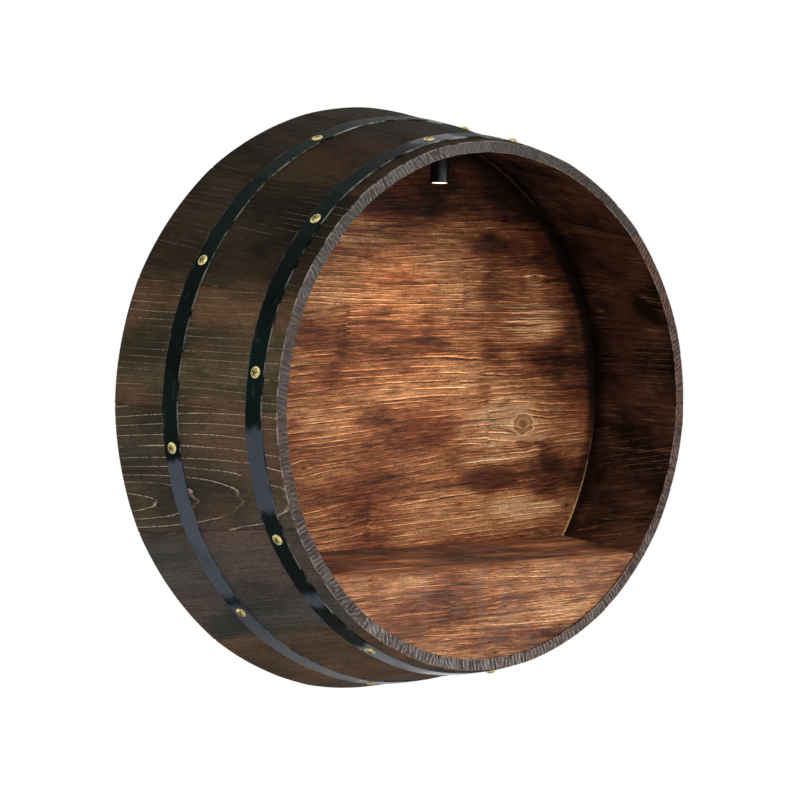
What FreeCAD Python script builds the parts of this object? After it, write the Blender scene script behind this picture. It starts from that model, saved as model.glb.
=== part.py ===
import FreeCAD, Part
import math
import os

from FreeCAD import Placement, Rotation, Vector

# A wall-hung display cabinet shaped like the front half of a barrel, with a shelf and a small spotlight.
# Lengths are in millimetres and angles in degrees, counted round the barrel's axis from +X towards +Z.
# The wall is the plane y = 0, the open front faces -Y, and the barrel's axis is the Y axis.

# Barrel
front_diameter = 500.0
back_diameter = 600.0
cabinet_depth = 200.0
stave_thickness = 11.0
stave_edge_ease = 0.8
stave_crown_share = 0.9
first_joint_angle = 93.8
# Each stave's part of the girth, from the narrow closing stave at the top round by the left side
stave_width_shares = (
    0.54, 0.98, 1.04, 0.95, 0.97, 1.08, 0.99, 0.99,
    1.02, 0.99, 0.99, 1.00, 1.02, 1.05, 0.93,
)

# Hoops and their screws
hoop_width = 18.6
hoop_thickness = 1.2
hoop_end_gap = 1.0
front_hoop_set = 26.4
rear_hoop_set = 127.3
front_hoop_joint_angle = 93.4
rear_hoop_joint_angle = 350.0
front_hoop_first_screw_angle = 105.7
front_hoop_screw_pitch_angle = 33.7
front_hoop_screw_count = 11
rear_hoop_first_screw_angle = 116.6
rear_hoop_screw_pitch_angle = 35.8
rear_hoop_screw_count = 10
hoop_screw_diameter = 4.0
hoop_screw_head_diameter = 10.5
hoop_screw_head_height = 2.6
hoop_screw_tip_cover = 3.0
hoop_hole_clearance = 0.2

# Back panel and the battens behind it
panel_thickness = 15.0
panel_board_count = 4
rear_void = 21.0
batten_width = 40.0
batten_spacing = 150.0
batten_end_gap = 25.0
panel_screw_diameter = 4.0
panel_screw_head_diameter = 8.0
panel_screw_head_height = 2.4
panel_screw_tip_cover = 5.0
panel_screw_end_margin = 12.0

# Keyhole hangers, let into the outer battens
hanger_height = 132.0
hanger_plate_width = 18.0
hanger_plate_thickness = 1.6
hanger_entry_diameter = 10.0
hanger_slot_width = 5.0
hanger_slot_rise = 12.0
hanger_plate_margin = 16.0
hanger_pocket_depth = 9.0
hanger_pocket_clearance = 1.0
hanger_screw_diameter = 3.0
hanger_screw_head_diameter = 5.0
hanger_screw_head_height = 1.5
hanger_screw_length = 14.0
hanger_screw_inset = 4.5

# Shelf, the board that closes the space under it, and the cleats that carry them
shelf_drop = 150.0
shelf_thickness = 15.0
fascia_thickness = 15.0
fascia_setback = 3.0
fascia_edge_radius = 4.0
cleat_size = 20.0
cleat_end_gap = 16.0
cleat_screw_diameter = 4.0
cleat_screw_head_diameter = 8.0
cleat_screw_head_height = 2.4
cleat_screw_tip_cover = 5.0
cleat_screw_place_shares = (-0.75, -0.25, 0.25, 0.75)
shelf_screw_place_shares = (-0.5, 0.5)

# Spotlight base and swivel
lamp_setback = 97.5
canopy_diameter = 24.0
canopy_drop = 7.0
canopy_floor = 2.5
canopy_screw_diameter = 2.5
canopy_screw_head_diameter = 4.4
canopy_screw_head_height = 1.2
canopy_screw_spread = 9.0
canopy_screw_grip = 8.0
running_clearance = 0.05
swivel_shaft_diameter = 7.0
swivel_wire_bore = 2.5
retainer_diameter = 12.0
retainer_thickness = 1.5
retainer_pocket_clearance = 0.75
swivel_gap = 0.3
yoke_base_diameter = 14.0
yoke_base_thickness = 2.0
yoke_ear_thickness = 2.5
yoke_ear_drop = 4.7
pivot_boss_radius = 3.0
pivot_pin_diameter = 3.0
lug_thickness = 5.0
lug_side_gap = 0.1

# Spotlight head
lamp_head_diameter = 19.0
lamp_head_length = 27.5
lamp_neck_gap = 4.5
lamp_wall = 1.0
lamp_top_thickness = 2.5
led_board_thickness = 1.6
led_chip_size = 4.0
led_chip_height = 0.8
lens_height = 8.0
lens_top_diameter = 8.0
lens_rim_height = 1.5
lens_holder_wall = 1.0
bezel_wall = 0.8
bezel_height = 1.5
head_fit_clearance = 0.1

# Lamp lead and power socket
lead_diameter = 3.5
lead_clearance = 0.15
lead_stave_gap = 0.3
lead_wall_gap = 12.0
lead_offset = 32.0
lead_shoulder_drop = 14.0
lead_bend_radius = 8.0
lead_clip_count = 3
lead_clip_width = 10.0
lead_clip_height = 6.0
lead_clip_back = 3.0
socket_drop = 170.0
socket_diameter = 11.0
socket_length = 22.0
socket_bore = 5.6
socket_bore_depth = 10.0
socket_pin_diameter = 2.1
socket_pin_length = 9.0
socket_clip_wall = 3.5
socket_clip_height = 12.0
notch_width = 8.0
notch_depth = 8.0

# Shares that shape every screw: its point, the rim of a dome head and the cross in the head
screw_tip_share = 0.8
screw_head_rim_share = 0.3
cross_length_share = 0.55
cross_width_share = 0.12
cross_depth_share = 0.5

# One overrun serves every cut
overrun = 6.0

front_y = -cabinet_depth
panel_back_y = -rear_void
panel_front_y = panel_back_y - panel_thickness
taper = (back_diameter - front_diameter) / 2 / cabinet_depth
slope = math.atan(taper)
shelf_z = -shelf_drop


def stave_spans():
    """The start and end angle of every stave, in radians."""
    turn = 2 * math.pi / sum(stave_width_shares)
    spans = []
    start = math.radians(first_joint_angle)
    for share in stave_width_shares:
        spans.append((start, start + share * turn))
        start += share * turn
    return spans


spans = stave_spans()
widest_half = max(end - start for start, end in spans) / 2


def corner_radius(y):
    """Radius of the staves' outer corners at depth y."""
    return back_diameter / 2 + taper * y


def inner_radius(y):
    """Radius of the staves' inner corners at depth y."""
    return corner_radius(y) - stave_thickness


def crowned_middle(radius, half):
    """Radius at the middle of a stave's face, whose corners have the given radius."""
    flat = radius * math.cos(half)
    return flat + stave_crown_share * (radius - flat)


def clear_radius(y):
    """Largest circle that fits inside the staves at depth y."""
    return crowned_middle(inner_radius(y), widest_half)


def chord_half(radius, height):
    """Half the width of a circle at a height above or below its middle."""
    return math.sqrt(radius ** 2 - height ** 2)


def face_circle(radius, half):
    """Distance from the axis to the centre of a crowned face's arc, and the arc's radius."""
    middle = crowned_middle(radius, half)
    centre = (radius ** 2 - middle ** 2) / (2 * (radius * math.cos(half) - middle))
    return centre, middle - centre


def face_radius(radius, half, offset):
    """Radius of a crowned face at an angle from its middle."""
    centre, face_arc = face_circle(radius, half)
    return centre * math.cos(offset) + math.sqrt(face_arc ** 2 - (centre * math.sin(offset)) ** 2)


def span_at(angle):
    """The stave that an angle in radians falls on."""
    first = spans[0][0]
    turned = first + (angle - first) % (2 * math.pi)
    return next((start, end) for start, end in spans if start <= turned <= end), turned


def polar(radius, angle, y):
    return Vector(radius * math.cos(angle), y, radius * math.sin(angle))


def arc(start, middle, end):
    return Part.Arc(start, middle, end).toShape()


def line(start, end):
    return Part.LineSegment(start, end).toShape()


def box(low, high):
    """A box between two corners."""
    size = high - low
    return Part.makeBox(size.x, size.y, size.z, low)


def rod(diameter, start, end):
    """A round bar from one point to another."""
    run = end - start
    return Part.makeCylinder(diameter / 2, run.Length, start, run)


def placed(shape, origin, direction):
    """A copy of a shape made along +Z, set at a point and turned along a direction."""
    copy = shape.copy()
    copy.Placement = Placement(origin, Rotation(Vector(0, 0, 1), direction))
    return copy


def cut_by(shape, tools):
    """Cuts a shape with those tools that reach it."""
    near = [tool for tool in tools if shape.BoundBox.intersect(tool.BoundBox)]
    return shape.cut(near) if near else shape


def ring_wire(y, offset):
    """Closed outline of all the staves' faces at depth y, moved outwards by an offset."""
    radius = corner_radius(y) + offset
    edges = []
    for start, end in spans:
        middle = polar(crowned_middle(radius, (end - start) / 2), (start + end) / 2, y)
        edges.append(arc(polar(radius, start, y), middle, polar(radius, end, y)))
    return Part.Wire(edges)


def barrel_solid(low_y, high_y, offset):
    """The barrel as a plug between two depths, its faces moved outwards by an offset."""
    return Part.makeLoft([ring_wire(low_y, offset), ring_wire(high_y, offset)], True, True)


cavity = barrel_solid(front_y - overrun, overrun, -stave_thickness)


class Screw:
    """A wood screw along +Z: a dome head stands on zero, and a countersunk head ends at zero."""

    def __init__(self, diameter, head_diameter, head_height, length, dome):
        self.radius = diameter / 2
        self.head_radius = head_diameter / 2
        self.head_height = head_height
        self.length = length
        self.dome = dome

    def outline(self, edges):
        """Turns an outline in the XZ plane about the Z axis."""
        return Part.Face(Part.Wire(edges)).revolve(Vector(0, 0, 0), Vector(0, 0, 1), 360)

    def hole(self):
        """The space that the screw takes below its head's top or underside."""
        tip = Vector(0, 0, -self.length)
        shoulder = Vector(self.radius, 0, -self.length + 2 * self.radius * screw_tip_share)
        top = Vector(0, 0, 0)
        if self.dome:
            neck = [shoulder, Vector(self.radius, 0, 0)]
        else:
            neck = [shoulder, Vector(self.radius, 0, -self.head_height), Vector(self.head_radius, 0, 0)]
        points = [tip] + neck + [top, tip]
        return self.outline([line(a, b) for a, b in zip(points, points[1:])])

    def dome_head(self):
        rim = screw_head_rim_share * self.head_height
        rise = self.head_height - rim
        sphere = (self.head_radius ** 2 + rise ** 2) / (2 * rise)
        half_turn = math.asin(self.head_radius / sphere) / 2
        middle = Vector(
            sphere * math.sin(half_turn),
            0,
            self.head_height - sphere + sphere * math.cos(half_turn),
        )
        foot = Vector(0, 0, 0)
        edge = Vector(self.head_radius, 0, 0)
        shoulder = Vector(self.head_radius, 0, rim)
        crown = Vector(0, 0, self.head_height)
        return self.outline(
            [line(foot, edge), line(edge, shoulder), arc(shoulder, middle, crown), line(crown, foot)]
        )

    def cross(self, top):
        """The cross cut into the head, whose top is at the given height."""
        reach = cross_length_share * self.head_radius
        half_width = cross_width_share * self.head_radius
        floor = top - cross_depth_share * self.head_height
        arms = [
            box(Vector(-reach, -half_width, floor), Vector(reach, half_width, top + overrun)),
            box(Vector(-half_width, -reach, floor), Vector(half_width, reach, top + overrun)),
        ]
        return arms[0].fuse(arms[1])

    def solid(self):
        if not self.dome:
            return self.hole().cut(self.cross(0))
        return self.hole().fuse(self.dome_head()).removeSplitter().cut(self.cross(self.head_height))


hoop_screw = Screw(
    hoop_screw_diameter,
    hoop_screw_head_diameter,
    hoop_screw_head_height,
    hoop_thickness + stave_thickness - hoop_screw_tip_cover,
    dome=True,
)
panel_screw = Screw(
    panel_screw_diameter,
    panel_screw_head_diameter,
    panel_screw_head_height,
    rear_void + panel_thickness - panel_screw_tip_cover,
    dome=False,
)
hanger_screw = Screw(
    hanger_screw_diameter,
    hanger_screw_head_diameter,
    hanger_screw_head_height,
    hanger_screw_length,
    dome=False,
)


def cleat_screw(board_thickness):
    """A screw through a cleat into a board of the given thickness."""
    length = cleat_size + board_thickness - cleat_screw_tip_cover
    return Screw(
        cleat_screw_diameter, cleat_screw_head_diameter, cleat_screw_head_height, length, dome=False
    )


def screw_set(screw, seats):
    """Screws and their holes at a list of (point, direction) seats."""
    solids = [placed(screw.solid(), point, direction) for point, direction in seats]
    holes = [placed(screw.hole(), point, direction) for point, direction in seats]
    return solids, holes


# Staves

def stave_section(start, end, y, shrink):
    """Outline of one stave at depth y, with eased outer corners and its two faces drawn in by shrink."""
    outer = corner_radius(y) - shrink
    inner = inner_radius(y) + shrink
    half = (end - start) / 2
    middle = (start + end) / 2
    ease = 2 * stave_edge_ease / front_diameter
    face_edge = face_radius(outer, half, half - ease)
    corner = outer * (1 - ease)
    outer_points = [
        polar(corner, start, y),
        polar(face_edge, start + ease, y),
        polar(crowned_middle(outer, half), middle, y),
        polar(face_edge, end - ease, y),
        polar(corner, end, y),
    ]
    inner_points = [
        polar(inner, end, y),
        polar(crowned_middle(inner, half), middle, y),
        polar(inner, start, y),
    ]
    return Part.Wire(
        [
            line(outer_points[0], outer_points[1]),
            arc(*outer_points[1:4]),
            line(outer_points[3], outer_points[4]),
            line(outer_points[4], inner_points[0]),
            arc(*inner_points),
            line(inner_points[2], outer_points[0]),
        ]
    )


def stave(start, end):
    """One tapered stave, with eased edges round its front end."""
    sections = [
        stave_section(start, end, front_y, stave_edge_ease),
        stave_section(start, end, front_y + stave_edge_ease, 0),
        stave_section(start, end, 0, 0),
    ]
    return Part.makeLoft(sections, True, True)


# Hoops

def hoop_seats(set_back, first_angle, pitch_angle, count):
    """Where a hoop's screws sit on it, and the way they point."""
    y = front_y + set_back
    seats = []
    for index in range(count):
        (start, end), angle = span_at(math.radians(first_angle + index * pitch_angle))
        half = (end - start) / 2
        middle = (start + end) / 2
        radius = corner_radius(y)
        on_face = polar(face_radius(radius, half, angle - middle), angle, y)
        arc_centre = polar(face_circle(radius, half)[0], middle, y)
        across = (on_face - arc_centre).normalize()
        outwards = across * math.cos(slope) - Vector(0, math.sin(slope), 0)
        seats.append((on_face + outwards * hoop_thickness, outwards))
    return seats


def hoop(set_back, joint_angle, seats):
    """A flat strap bent round the staves, with a gap where its ends meet and a hole for each screw."""
    low_y = front_y + set_back - hoop_width / 2
    high_y = low_y + hoop_width
    strap = barrel_solid(low_y, high_y, hoop_thickness).cut(barrel_solid(low_y, high_y, 0))
    gap = box(
        Vector(inner_radius(low_y), low_y - overrun, -hoop_end_gap / 2),
        Vector(corner_radius(high_y) + overrun, high_y + overrun, hoop_end_gap / 2),
    )
    gap.rotate(Vector(0, 0, 0), Vector(0, 1, 0), -joint_angle)
    hole_diameter = hoop_screw_diameter + 2 * hoop_hole_clearance
    holes = [rod(hole_diameter, seat - way * overrun, seat + way * overrun) for seat, way in seats]
    return strap.cut([gap] + holes)


front_hoop_seats = hoop_seats(
    front_hoop_set, front_hoop_first_screw_angle, front_hoop_screw_pitch_angle, front_hoop_screw_count
)
rear_hoop_seats = hoop_seats(
    rear_hoop_set, rear_hoop_first_screw_angle, rear_hoop_screw_pitch_angle, rear_hoop_screw_count
)
front_hoop_screws, front_hoop_holes = screw_set(hoop_screw, front_hoop_seats)
rear_hoop_screws, rear_hoop_holes = screw_set(hoop_screw, rear_hoop_seats)


# Battens and the screws that hold the panel to them

panel_reach = inner_radius(panel_back_y)
board_height = 2 * panel_reach / panel_board_count
batten_places = {"left": -batten_spacing, "middle": 0, "right": batten_spacing}
hanger_low_z = hanger_height - hanger_plate_margin
hanger_high_z = hanger_height + hanger_slot_rise + hanger_plate_margin


def batten_half(x):
    """Half the length of the batten at x, clear of the staves."""
    edge = abs(x) + batten_width / 2
    return chord_half(clear_radius(panel_back_y), edge) - batten_end_gap


def panel_screw_heights(x):
    """Two screws in each board, where the batten at x reaches it and its hanger leaves room."""
    limit = batten_half(x) - panel_screw_end_margin
    heights = []
    for index in range(panel_board_count):
        middle = -panel_reach + (index + 1 / 2) * board_height
        for z in (middle - board_height / 4, middle + board_height / 4):
            room = panel_screw_head_diameter
            on_hanger = x != 0 and hanger_low_z - room < z < hanger_high_z + room
            if abs(z) < limit and not on_hanger:
                heights.append(z)
    return heights


panel_seats = [
    (Vector(x, 0, z), Vector(0, 1, 0)) for x in batten_places.values() for z in panel_screw_heights(x)
]
panel_screws, panel_holes = screw_set(panel_screw, panel_seats)


# Keyhole hangers

def keyhole(x, low_y, high_y, clearance):
    """The entry hole and the slot above it, between two depths and widened by a clearance."""
    low = Vector(x, low_y, hanger_height)
    high = Vector(x, high_y, hanger_height)
    rise = Vector(0, 0, hanger_slot_rise)
    half_slot = hanger_slot_width / 2 + clearance
    entry = rod(hanger_entry_diameter + 2 * clearance, low, high)
    slot = box(low - Vector(half_slot, 0, 0), high + rise + Vector(half_slot, 0, 0))
    slot_end = rod(2 * half_slot, low + rise, high + rise)
    return entry.fuse([slot, slot_end])


def hanger_plate_box(x):
    return box(
        Vector(x - hanger_plate_width / 2, -hanger_plate_thickness, hanger_low_z),
        Vector(x + hanger_plate_width / 2, 0, hanger_high_z),
    )


def hanger_pocket(x):
    """Room behind the plate for the head of the wall screw, all the way up the slot."""
    low_y = -hanger_plate_thickness - hanger_pocket_depth
    half = hanger_entry_diameter / 2 + hanger_pocket_clearance
    low = Vector(x, low_y, hanger_height)
    high = Vector(x, 0, hanger_height)
    rise = Vector(0, 0, hanger_slot_rise)
    middle = box(low - Vector(half, 0, 0), high + rise + Vector(half, 0, 0))
    return middle.fuse([rod(2 * half, low, high), rod(2 * half, low + rise, high + rise)])


hanger_places = {"left": -batten_spacing, "right": batten_spacing}
hanger_seats = [
    (Vector(x, 0, z), Vector(0, 1, 0))
    for x in hanger_places.values()
    for z in (hanger_low_z + hanger_screw_inset, hanger_high_z - hanger_screw_inset)
]
hanger_screws, hanger_holes = screw_set(hanger_screw, hanger_seats)


def hanger_plate(x):
    cut = keyhole(x, -hanger_plate_thickness - overrun, overrun, 0)
    return cut_by(hanger_plate_box(x).cut(cut), hanger_holes)


def batten(x):
    """An upright strip between the panel and the wall."""
    half_width = Vector(batten_width / 2, 0, 0)
    half_length = Vector(0, 0, batten_half(x))
    blank = box(
        Vector(x, panel_back_y, 0) - half_width - half_length,
        Vector(x, 0, 0) + half_width + half_length,
    )
    tools = panel_holes + hanger_holes
    for place in hanger_places.values():
        tools = tools + [hanger_plate_box(place), hanger_pocket(place)]
    return cut_by(blank, tools)


# Shelf, fascia and cleats

fascia_front_y = front_y + fascia_setback
fascia_back_y = fascia_front_y + fascia_thickness
cleat_top_z = shelf_z - shelf_thickness
cleat_bottom_z = cleat_top_z - cleat_size
cleat_middle_z = cleat_top_z - cleat_size / 2
cleat_half = chord_half(clear_radius(fascia_back_y), cleat_bottom_z) - cleat_end_gap
rear_cleat_y = panel_front_y - cleat_size
front_cleat_y = fascia_back_y + cleat_size


def blank_board(low_y, high_y, low_z, high_z):
    """A board between two depths and two heights, wider than the barrel."""
    reach = corner_radius(0)
    return box(Vector(-reach, low_y, low_z), Vector(reach, high_y, high_z))


def inside_barrel(low_y, high_y, low_z, high_z):
    """A board that fills the barrel from side to side between two depths and two heights."""
    return blank_board(low_y, high_y, low_z, high_z).common(cavity)


rear_cleat_seats = [
    (Vector(share * cleat_half, rear_cleat_y, cleat_middle_z), Vector(0, -1, 0))
    for share in cleat_screw_place_shares
]
front_cleat_seats = [
    (Vector(share * cleat_half, front_cleat_y, cleat_middle_z), Vector(0, 1, 0))
    for share in cleat_screw_place_shares
]
shelf_seats = [
    (Vector(share * cleat_half, y, cleat_bottom_z), Vector(0, 0, -1))
    for share in shelf_screw_place_shares
    for y in (panel_front_y - cleat_size / 2, fascia_back_y + cleat_size / 2)
]
rear_cleat_screws, rear_cleat_holes = screw_set(cleat_screw(panel_thickness), rear_cleat_seats)
front_cleat_screws, front_cleat_holes = screw_set(cleat_screw(fascia_thickness), front_cleat_seats)
shelf_screws, shelf_holes = screw_set(cleat_screw(shelf_thickness), shelf_seats)


def cleat(low_y):
    blank = box(
        Vector(-cleat_half, low_y, cleat_bottom_z), Vector(cleat_half, low_y + cleat_size, cleat_top_z)
    )
    return cut_by(blank, rear_cleat_holes + front_cleat_holes + shelf_holes)


def shelf():
    board = inside_barrel(fascia_back_y, panel_front_y, cleat_top_z, shelf_z)
    return cut_by(board, shelf_holes)


def fascia():
    """The board under the shelf's front, with a rounded top edge."""
    board = blank_board(fascia_front_y, fascia_back_y, -corner_radius(0), shelf_z)
    top_edge = max(board.Edges, key=lambda edge: edge.CenterOfMass.z - edge.CenterOfMass.y)
    rounded = board.makeFillet(fascia_edge_radius, [top_edge])
    return cut_by(rounded.common(cavity), front_cleat_holes)


# Spotlight: everything hangs from one stave, on a level base with an upright axis

lamp_y = front_y + lamp_setback
(lamp_start, lamp_end), lamp_angle = span_at(math.pi / 2)
ceiling_z = face_radius(
    inner_radius(lamp_y), (lamp_end - lamp_start) / 2, lamp_angle - (lamp_start + lamp_end) / 2
)
canopy_z = ceiling_z - canopy_drop
yoke_top_z = canopy_z - swivel_gap
yoke_base_z = yoke_top_z - yoke_base_thickness
pivot_z = yoke_base_z - yoke_ear_drop
head_top_z = pivot_z - lamp_neck_gap
head_bottom_z = head_top_z - lamp_head_length
retainer_pocket = retainer_diameter + 2 * retainer_pocket_clearance


def on_lamp(z):
    """A point on the spotlight's upright axis."""
    return Vector(0, lamp_y, z)


def tube(outer, inner, low_z, high_z):
    """A round sleeve on the spotlight's axis."""
    return rod(outer, on_lamp(low_z), on_lamp(high_z)).cut(
        rod(inner, on_lamp(low_z - overrun), on_lamp(high_z + overrun))
    )


canopy_screw = Screw(
    canopy_screw_diameter,
    canopy_screw_head_diameter,
    canopy_screw_head_height,
    canopy_drop + canopy_screw_grip,
    dome=False,
)
canopy_seats = [
    (on_lamp(canopy_z) + Vector(side * canopy_screw_spread, 0, 0), Vector(0, 0, -1)) for side in (-1, 1)
]
canopy_screws, canopy_holes = screw_set(canopy_screw, canopy_seats)

# The lamp lead follows the stave back to the panel, drops behind it and ends in the power socket
lead_way = Vector(0, math.cos(slope), math.sin(slope))
lead_below = (lead_diameter / 2 + lead_stave_gap) / math.cos(slope)
lead_origin = on_lamp(ceiling_z - lead_below)
lead_start = lead_origin + lead_way * (retainer_pocket / 2 / math.cos(slope))
lead_bend = lead_origin + lead_way * ((-lead_wall_gap - lamp_y) / math.cos(slope))
lead_shoulder = lead_bend + Vector(lead_offset, 0, -lead_shoulder_drop)
lead_end = Vector(lead_offset, -lead_wall_gap, -socket_drop)
lead_room = lead_diameter + 2 * lead_clearance


def rounded_path(points, radius):
    """Straight runs through the points, joined by tangent arcs of one radius."""
    edges = []
    start = points[0]
    for before, corner, after in zip(points, points[1:], points[2:]):
        coming = (corner - before).normalize()
        going = (after - corner).normalize()
        half_turn = coming.getAngle(going) / 2
        reach = radius * math.tan(half_turn)
        inwards = (going - coming).normalize()
        middle = corner + inwards * (radius / math.cos(half_turn) - radius)
        edges.append(line(start, corner - coming * reach))
        edges.append(arc(corner - coming * reach, middle, corner + going * reach))
        start = corner + going * reach
    edges.append(line(start, points[-1]))
    return Part.Wire(edges)


def lamp_lead():
    path = rounded_path([lead_start, lead_bend, lead_shoulder, lead_end], lead_bend_radius)
    section = Part.Wire(Part.Circle(lead_start, lead_way, lead_diameter / 2).toShape())
    lead = path.makePipeShell([section], True, False)
    expected = math.pi * lead_diameter ** 2 / 4 * path.Length
    print(f"lamp lead: length {path.Length:.1f}, bend radius {lead_bend_radius:.1f}, ", end="")
    print(f"volume {lead.Volume:.0f} against {expected:.0f}")
    return lead


def lead_groove():
    """The lead's way out of the base, open upwards to the stave."""
    side = Vector(lead_room / 2, 0, 0)
    up = Vector(0, 0, canopy_diameter)
    back = lead_origin + lead_way * canopy_diameter
    corners = [lead_origin - side, back - side, back - side + up, lead_origin - side + up]
    slot = Part.Face(Part.makePolygon(corners + corners[:1])).extrude(side * 2)
    return slot.fuse(rod(lead_room, lead_origin, back))


def lamp_canopy():
    """The base, cut to the stave above it, with a pocket for the swivel and a groove for the lead."""
    body = rod(canopy_diameter, on_lamp(canopy_z), on_lamp(ceiling_z + canopy_diameter)).common(cavity)
    bore = rod(swivel_shaft_diameter + 2 * running_clearance, on_lamp(canopy_z - overrun), on_lamp(ceiling_z))
    pocket = rod(retainer_pocket, on_lamp(canopy_z + canopy_floor), on_lamp(ceiling_z + canopy_diameter))
    return body.cut([bore, pocket, lead_groove()] + canopy_holes)


def swivel_yoke():
    """The turning shaft with a base disc and two ears for the head."""
    shaft_top = canopy_z + canopy_floor + running_clearance + retainer_thickness
    shaft = rod(swivel_shaft_diameter, on_lamp(yoke_base_z), on_lamp(shaft_top))
    base = rod(yoke_base_diameter, on_lamp(yoke_base_z), on_lamp(yoke_top_z))
    inner = lug_thickness / 2 + lug_side_gap
    ears = []
    for side in (-1, 1):
        near = Vector(side * inner, lamp_y, pivot_z)
        far = Vector(side * (inner + yoke_ear_thickness), lamp_y, pivot_z)
        half = Vector(0, pivot_boss_radius, 0)
        low = Vector(min(near.x, far.x), lamp_y, pivot_z) - half
        high = Vector(max(near.x, far.x), lamp_y, yoke_base_z) + half
        ears += [rod(2 * pivot_boss_radius, near, far), box(low, high)]
    wire = rod(swivel_wire_bore, on_lamp(yoke_base_z - overrun), on_lamp(shaft_top + overrun))
    return shaft.fuse([base] + ears).removeSplitter().cut([wire, pivot_pin()])


def pivot_pin():
    half = Vector(lug_thickness / 2 + lug_side_gap + yoke_ear_thickness, 0, 0)
    return rod(pivot_pin_diameter, on_lamp(pivot_z) - half, on_lamp(pivot_z) + half)


def swivel_retainer():
    low_z = canopy_z + canopy_floor + running_clearance
    return tube(retainer_diameter, swivel_shaft_diameter, low_z, low_z + retainer_thickness)


head_bore = lamp_head_diameter - 2 * lamp_wall
board_z = head_top_z - lamp_top_thickness
lens_z = head_bottom_z + bezel_height
inner_diameter = head_bore - 2 * head_fit_clearance
bezel_bore = head_bore - 2 * bezel_wall


def lamp_housing():
    """The can, open below, with the lug that the pivot pin goes through."""
    can = rod(lamp_head_diameter, on_lamp(head_bottom_z), on_lamp(head_top_z))
    can = can.cut(rod(head_bore, on_lamp(head_bottom_z - overrun), on_lamp(board_z)))
    half = Vector(lug_thickness / 2, 0, 0)
    width = Vector(0, pivot_boss_radius, 0)
    lug = rod(2 * pivot_boss_radius, on_lamp(pivot_z) - half, on_lamp(pivot_z) + half)
    stem = box(on_lamp(head_top_z) - half - width, on_lamp(pivot_z) + half + width)
    hole_reach = Vector(lug_thickness, 0, 0)
    hole = rod(
        pivot_pin_diameter + 2 * running_clearance,
        on_lamp(pivot_z) - hole_reach,
        on_lamp(pivot_z) + hole_reach,
    )
    return can.fuse([lug, stem]).removeSplitter().cut(hole)


def led_board():
    board = rod(inner_diameter, on_lamp(board_z - led_board_thickness), on_lamp(board_z))
    half = led_chip_size / 2
    chip_top = on_lamp(board_z - led_board_thickness)
    chip = box(chip_top - Vector(half, half, led_chip_height), chip_top + Vector(half, half, 0))
    return board.fuse(chip).removeSplitter()


def lamp_lens():
    """A clear collimating lens: a face flush with the bezel, a rim that sits on it and a cone to the light."""
    rim_top = lens_z + lens_rim_height
    face = rod(bezel_bore - 2 * head_fit_clearance, on_lamp(head_bottom_z), on_lamp(lens_z))
    rim = rod(inner_diameter, on_lamp(lens_z), on_lamp(rim_top))
    holder_bore = inner_diameter - 2 * lens_holder_wall - 2 * head_fit_clearance
    cone = Part.makeCone(
        holder_bore / 2, lens_top_diameter / 2, lens_height - lens_rim_height, on_lamp(rim_top)
    )
    return rim.fuse([face, cone]).removeSplitter()


def lens_holder():
    """The sleeve that keeps the lens on the bezel and the board against the can's top."""
    inner = inner_diameter - 2 * lens_holder_wall
    return tube(inner_diameter, inner, lens_z + lens_rim_height, board_z - led_board_thickness)


def lamp_bezel():
    return tube(head_bore, bezel_bore, head_bottom_z, lens_z)


# Behind the panel: clips for the lead, the power socket and its clip

lead_clip_back_y = -lead_wall_gap + lead_clip_back


def lead_clips():
    """Blocks on the back of the panel that hold the lead, evenly spread down its straight run."""
    top_z = lead_shoulder.z
    half = Vector(lead_clip_width / 2, 0, lead_clip_height / 2)
    clips = []
    for index in range(lead_clip_count):
        z = top_z + (lead_end.z - top_z) * (index + 1 / 2) / lead_clip_count
        block = box(
            Vector(lead_offset, panel_back_y, z) - half, Vector(lead_offset, lead_clip_back_y, z) + half
        )
        reach = Vector(0, 0, lead_clip_height)
        middle = Vector(lead_offset, -lead_wall_gap, z)
        clips.append(block.cut(rod(lead_room, middle - reach, middle + reach)))
    return clips


def power_socket():
    """A round low-voltage socket that faces down, with its centre pin."""
    foot = lead_end - Vector(0, 0, socket_length)
    bore_end = foot + Vector(0, 0, socket_bore_depth)
    body = rod(socket_diameter, foot, lead_end).cut(rod(socket_bore, foot - Vector(0, 0, overrun), bore_end))
    pin = rod(socket_pin_diameter, bore_end - Vector(0, 0, socket_pin_length), bore_end)
    return body.fuse(pin).removeSplitter()


def socket_clip():
    half_width = socket_diameter / 2 + socket_clip_wall
    middle = lead_end - Vector(0, 0, socket_length / 2)
    low = Vector(middle.x - half_width, panel_back_y, middle.z - socket_clip_height / 2)
    high = Vector(middle.x + half_width, middle.y + half_width, middle.z + socket_clip_height / 2)
    reach = Vector(0, 0, socket_clip_height)
    return box(low, high).cut(rod(socket_diameter, middle - reach, middle + reach))


def cord_notch():
    """A notch in the back edge of the staves, under the socket, where the supply cord leaves."""
    return box(
        Vector(lead_offset - notch_width / 2, -notch_depth, -corner_radius(0) - overrun),
        Vector(lead_offset + notch_width / 2, overrun, -clear_radius(0) + overrun),
    )


def panel_board(index):
    """One edge-glued board of the back panel, cut to the staves."""
    low_z = -panel_reach + index * board_height
    board = inside_barrel(panel_front_y, panel_back_y, low_z, low_z + board_height)
    lead_hole = rod(lead_room, lead_origin, lead_bend)
    return cut_by(board, panel_holes + rear_cleat_holes + [lead_hole])


# All pieces by name

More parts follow.
